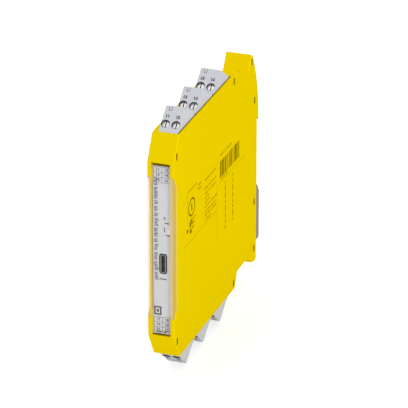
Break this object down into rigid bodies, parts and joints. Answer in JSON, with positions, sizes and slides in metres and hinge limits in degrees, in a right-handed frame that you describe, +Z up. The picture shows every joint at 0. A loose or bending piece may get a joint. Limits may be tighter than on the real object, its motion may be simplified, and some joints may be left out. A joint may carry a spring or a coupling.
{
  "type": "speed monitoring relay",
  "caption": "Slim safety relay module for a 35 mm rail: yellow housing, clear hinged front flap, pluggable screw terminals above and below, sprung foot latch.",
  "frame": {"origin": "middle of the 35 mm rail's front face, on the housing's seat, mid-width of the housing", "axes": "+X to the right seen from the front, +Y from the front towards the rail, +Z up"},
  "size_m": [0.0122, 0.1135, 0.1208],
  "materials": {
    "yellow_plastic": "fine satin moulded polyamide",
    "panel_plastic": "satin light grey",
    "clear_plastic": "clear polished",
    "grey_plastic": "satin moulded polyamide",
    "latch_plastic": "satin dark grey",
    "black_plastic": "matt",
    "lamp_plastic": "milky diffusing",
    "board": "green lacquer",
    "aluminium_can": "drawn can",
    "steel": "bright zinc",
    "screw_steel": "bright zinc plated, turned",
    "brass": "tinned brass"
  },
  "bodies": {
    "housing": {"housing_shell": "yellow_plastic", "side_cover": "yellow_plastic", "front_panel": "panel_plastic", "usb_shell": "steel", "usb_tongue": "black_plastic", "light_pipe": "lamp_plastic", "status_lamps": "lamp_plastic", "main_board": "board", "relay_upper": "black_plastic", "relay_lower": "black_plastic", "transformer": "black_plastic", "capacitor": "aluminium_can", "logic_chips": "black_plastic", "top_header": "grey_plastic", "top_pins": "brass", "bottom_header": "grey_plastic", "bottom_pins": "brass"},
    "clear_cover": {"clear_cover": "clear_plastic"},
    "foot_latch": {"foot_latch": "latch_plastic"},
    "top_plug_1": {"top_plug_1": "grey_plastic", "top_plug_1_contacts": "brass"},
    "top_plug_1_screw_left": {"top_plug_1_screw_left": "screw_steel"},
    "top_plug_1_clamp_left": {"top_plug_1_clamp_left": "steel"},
    "top_plug_1_screw_right": {"top_plug_1_screw_right": "screw_steel"},
    "top_plug_1_clamp_right": {"top_plug_1_clamp_right": "steel"},
    "top_plug_2": {"top_plug_2": "grey_plastic", "top_plug_2_contacts": "brass"},
    "top_plug_2_screw_left": {"top_plug_2_screw_left": "screw_steel"},
    "top_plug_2_clamp_left": {"top_plug_2_clamp_left": "steel"},
    "top_plug_2_screw_right": {"top_plug_2_screw_right": "screw_steel"},
    "top_plug_2_clamp_right": {"top_plug_2_clamp_right": "steel"},
    "top_plug_3": {"top_plug_3": "grey_plastic", "top_plug_3_contacts": "brass"},
    "top_plug_3_screw_left": {"top_plug_3_screw_left": "screw_steel"},
    "top_plug_3_clamp_left": {"top_plug_3_clamp_left": "steel"},
    "top_plug_3_screw_right": {"top_plug_3_screw_right": "screw_steel"},
    "top_plug_3_clamp_right": {"top_plug_3_clamp_right": "steel"},
    "bottom_plug_1": {"bottom_plug_1": "grey_plastic", "bottom_plug_1_contacts": "brass"},
    "bottom_plug_1_screw_left": {"bottom_plug_1_screw_left": "screw_steel"},
    "bottom_plug_1_clamp_left": {"bottom_plug_1_clamp_left": "steel"},
    "bottom_plug_1_screw_right": {"bottom_plug_1_screw_right": "screw_steel"},
    "bottom_plug_1_clamp_right": {"bottom_plug_1_clamp_right": "steel"},
    "bottom_plug_2": {"bottom_plug_2": "grey_plastic", "bottom_plug_2_contacts": "brass"},
    "bottom_plug_2_screw_left": {"bottom_plug_2_screw_left": "screw_steel"},
    "bottom_plug_2_clamp_left": {"bottom_plug_2_clamp_left": "steel"},
    "bottom_plug_2_screw_right": {"bottom_plug_2_screw_right": "screw_steel"},
    "bottom_plug_2_clamp_right": {"bottom_plug_2_clamp_right": "steel"},
    "bottom_plug_3": {"bottom_plug_3": "grey_plastic", "bottom_plug_3_contacts": "brass"},
    "bottom_plug_3_screw_left": {"bottom_plug_3_screw_left": "screw_steel"},
    "bottom_plug_3_clamp_left": {"bottom_plug_3_clamp_left": "steel"},
    "bottom_plug_3_screw_right": {"bottom_plug_3_screw_right": "screw_steel"},
    "bottom_plug_3_clamp_right": {"bottom_plug_3_clamp_right": "steel"}
  },
  "joints": [
    {"name": "cover_hinge", "type": "hinge", "parent": "housing", "child": "clear_cover", "pos_m": [0, -0.10825, 0.0374], "axis": [-1, 0, 0], "range_deg": [0, 100]},
    {"name": "latch_slide", "type": "slide", "parent": "housing", "child": "foot_latch", "axis": [0, 0, -1], "range_m": [0, 0.0035], "stiffness_N_per_m": 600},
    {"name": "top_plug_1_pull", "type": "slide", "parent": "housing", "child": "top_plug_1", "axis": [0, 0, 1], "range_m": [0, 0.02]},
    {"name": "top_plug_1_screw_left_turn", "type": "hinge", "parent": "top_plug_1", "child": "top_plug_1_screw_left", "pos_m": [-0.0015, -0.0987, 0.0531], "axis": [0, 0.6428, -0.766], "range_deg": [0, 1599]},
    {"name": "top_plug_1_clamp_left_rise", "type": "slide", "parent": "top_plug_1", "child": "top_plug_1_clamp_left", "axis": [0, -0.6428, 0.766], "range_m": [0, 0.002]},
    {"name": "top_plug_1_screw_right_turn", "type": "hinge", "parent": "top_plug_1", "child": "top_plug_1_screw_right", "pos_m": [0.0032, -0.0987, 0.0531], "axis": [0, 0.6428, -0.766], "range_deg": [0, 1599]},
    {"name": "top_plug_1_clamp_right_rise", "type": "slide", "parent": "top_plug_1", "child": "top_plug_1_clamp_right", "axis": [0, -0.6428, 0.766], "range_m": [0, 0.002]},
    {"name": "top_plug_2_pull", "type": "slide", "parent": "housing", "child": "top_plug_2", "axis": [0, 0, 1], "range_m": [0, 0.02]},
    {"name": "top_plug_2_screw_left_turn", "type": "hinge", "parent": "top_plug_2", "child": "top_plug_2_screw_left", "pos_m": [-0.0015, -0.0765, 0.0531], "axis": [0, 0.6428, -0.766], "range_deg": [0, 1599]},
    {"name": "top_plug_2_clamp_left_rise", "type": "slide", "parent": "top_plug_2", "child": "top_plug_2_clamp_left", "axis": [0, -0.6428, 0.766], "range_m": [0, 0.002]},
    {"name": "top_plug_2_screw_right_turn", "type": "hinge", "parent": "top_plug_2", "child": "top_plug_2_screw_right", "pos_m": [0.0032, -0.0765, 0.0531], "axis": [0, 0.6428, -0.766], "range_deg": [0, 1599]},
    {"name": "top_plug_2_clamp_right_rise", "type": "slide", "parent": "top_plug_2", "child": "top_plug_2_clamp_right", "axis": [0, -0.6428, 0.766], "range_m": [0, 0.002]},
    {"name": "top_plug_3_pull", "type": "slide", "parent": "housing", "child": "top_plug_3", "axis": [0, 0, 1], "range_m": [0, 0.02]},
    {"name": "top_plug_3_screw_left_turn", "type": "hinge", "parent": "top_plug_3", "child": "top_plug_3_screw_left", "pos_m": [-0.0015, -0.0543, 0.0531], "axis": [0, 0.6428, -0.766], "range_deg": [0, 1599]},
    {"name": "top_plug_3_clamp_left_rise", "type": "slide", "parent": "top_plug_3", "child": "top_plug_3_clamp_left", "axis": [0, -0.6428, 0.766], "range_m": [0, 0.002]},
    {"name": "top_plug_3_screw_right_turn", "type": "hinge", "parent": "top_plug_3", "child": "top_plug_3_screw_right", "pos_m": [0.0032, -0.0543, 0.0531], "axis": [0, 0.6428, -0.766], "range_deg": [0, 1599]},
    {"name": "top_plug_3_clamp_right_rise", "type": "slide", "parent": "top_plug_3", "child": "top_plug_3_clamp_right", "axis": [0, -0.6428, 0.766], "range_m": [0, 0.002]},
    {"name": "bottom_plug_1_pull", "type": "slide", "parent": "housing", "child": "bottom_plug_1", "axis": [0, 0, -1], "range_m": [0, 0.02]},
    {"name": "bottom_plug_1_screw_left_turn", "type": "hinge", "parent": "bottom_plug_1", "child": "bottom_plug_1_screw_left", "pos_m": [0.0032, -0.0987, -0.0565], "axis": [0, 0.6428, 0.766], "range_deg": [0, 1599]},
    {"name": "bottom_plug_1_clamp_left_rise", "type": "slide", "parent": "bottom_plug_1", "child": "bottom_plug_1_clamp_left", "axis": [0, -0.6428, -0.766], "range_m": [0, 0.002]},
    {"name": "bottom_plug_1_screw_right_turn", "type": "hinge", "parent": "bottom_plug_1", "child": "bottom_plug_1_screw_right", "pos_m": [-0.0015, -0.0987, -0.0565], "axis": [0, 0.6428, 0.766], "range_deg": [0, 1599]},
    {"name": "bottom_plug_1_clamp_right_rise", "type": "slide", "parent": "bottom_plug_1", "child": "bottom_plug_1_clamp_right", "axis": [0, -0.6428, -0.766], "range_m": [0, 0.002]},
    {"name": "bottom_plug_2_pull", "type": "slide", "parent": "housing", "child": "bottom_plug_2", "axis": [0, 0, -1], "range_m": [0, 0.02]},
    {"name": "bottom_plug_2_screw_left_turn", "type": "hinge", "parent": "bottom_plug_2", "child": "bottom_plug_2_screw_left", "pos_m": [0.0032, -0.0765, -0.0565], "axis": [0, 0.6428, 0.766], "range_deg": [0, 1599]},
    {"name": "bottom_plug_2_clamp_left_rise", "type": "slide", "parent": "bottom_plug_2", "child": "bottom_plug_2_clamp_left", "axis": [0, -0.6428, -0.766], "range_m": [0, 0.002]},
    {"name": "bottom_plug_2_screw_right_turn", "type": "hinge", "parent": "bottom_plug_2", "child": "bottom_plug_2_screw_right", "pos_m": [-0.0015, -0.0765, -0.0565], "axis": [0, 0.6428, 0.766], "range_deg": [0, 1599]},
    {"name": "bottom_plug_2_clamp_right_rise", "type": "slide", "parent": "bottom_plug_2", "child": "bottom_plug_2_clamp_right", "axis": [0, -0.6428, -0.766], "range_m": [0, 0.002]},
    {"name": "bottom_plug_3_pull", "type": "slide", "parent": "housing", "child": "bottom_plug_3", "axis": [0, 0, -1], "range_m": [0, 0.02]},
    {"name": "bottom_plug_3_screw_left_turn", "type": "hinge", "parent": "bottom_plug_3", "child": "bottom_plug_3_screw_left", "pos_m": [0.0032, -0.0543, -0.0565], "axis": [0, 0.6428, 0.766], "range_deg": [0, 1599]},
    {"name": "bottom_plug_3_clamp_left_rise", "type": "slide", "parent": "bottom_plug_3", "child": "bottom_plug_3_clamp_left", "axis": [0, -0.6428, -0.766], "range_m": [0, 0.002]},
    {"name": "bottom_plug_3_screw_right_turn", "type": "hinge", "parent": "bottom_plug_3", "child": "bottom_plug_3_screw_right", "pos_m": [-0.0015, -0.0543, -0.0565], "axis": [0, 0.6428, 0.766], "range_deg": [0, 1599]},
    {"name": "bottom_plug_3_clamp_right_rise", "type": "slide", "parent": "bottom_plug_3", "child": "bottom_plug_3_clamp_right", "axis": [0, -0.6428, -0.766], "range_m": [0, 0.002]}
  ],
  "couplings": [
    {"joint": "top_plug_1_screw_left_turn", "follows": "top_plug_1_clamp_left_rise", "rad_per_m": 13950},
    {"joint": "top_plug_1_screw_right_turn", "follows": "top_plug_1_clamp_right_rise", "rad_per_m": 13950},
    {"joint": "top_plug_2_screw_left_turn", "follows": "top_plug_2_clamp_left_rise", "rad_per_m": 13950},
    {"joint": "top_plug_2_screw_right_turn", "follows": "top_plug_2_clamp_right_rise", "rad_per_m": 13950},
    {"joint": "top_plug_3_screw_left_turn", "follows": "top_plug_3_clamp_left_rise", "rad_per_m": 13950},
    {"joint": "top_plug_3_screw_right_turn", "follows": "top_plug_3_clamp_right_rise", "rad_per_m": 13950},
    {"joint": "bottom_plug_1_screw_left_turn", "follows": "bottom_plug_1_clamp_left_rise", "rad_per_m": 13950},
    {"joint": "bottom_plug_1_screw_right_turn", "follows": "bottom_plug_1_clamp_right_rise", "rad_per_m": 13950},
    {"joint": "bottom_plug_2_screw_left_turn", "follows": "bottom_plug_2_clamp_left_rise", "rad_per_m": 13950},
    {"joint": "bottom_plug_2_screw_right_turn", "follows": "bottom_plug_2_clamp_right_rise", "rad_per_m": 13950},
    {"joint": "bottom_plug_3_screw_left_turn", "follows": "bottom_plug_3_clamp_left_rise", "rad_per_m": 13950},
    {"joint": "bottom_plug_3_screw_right_turn", "follows": "bottom_plug_3_clamp_right_rise", "rad_per_m": 13950}
  ]
}
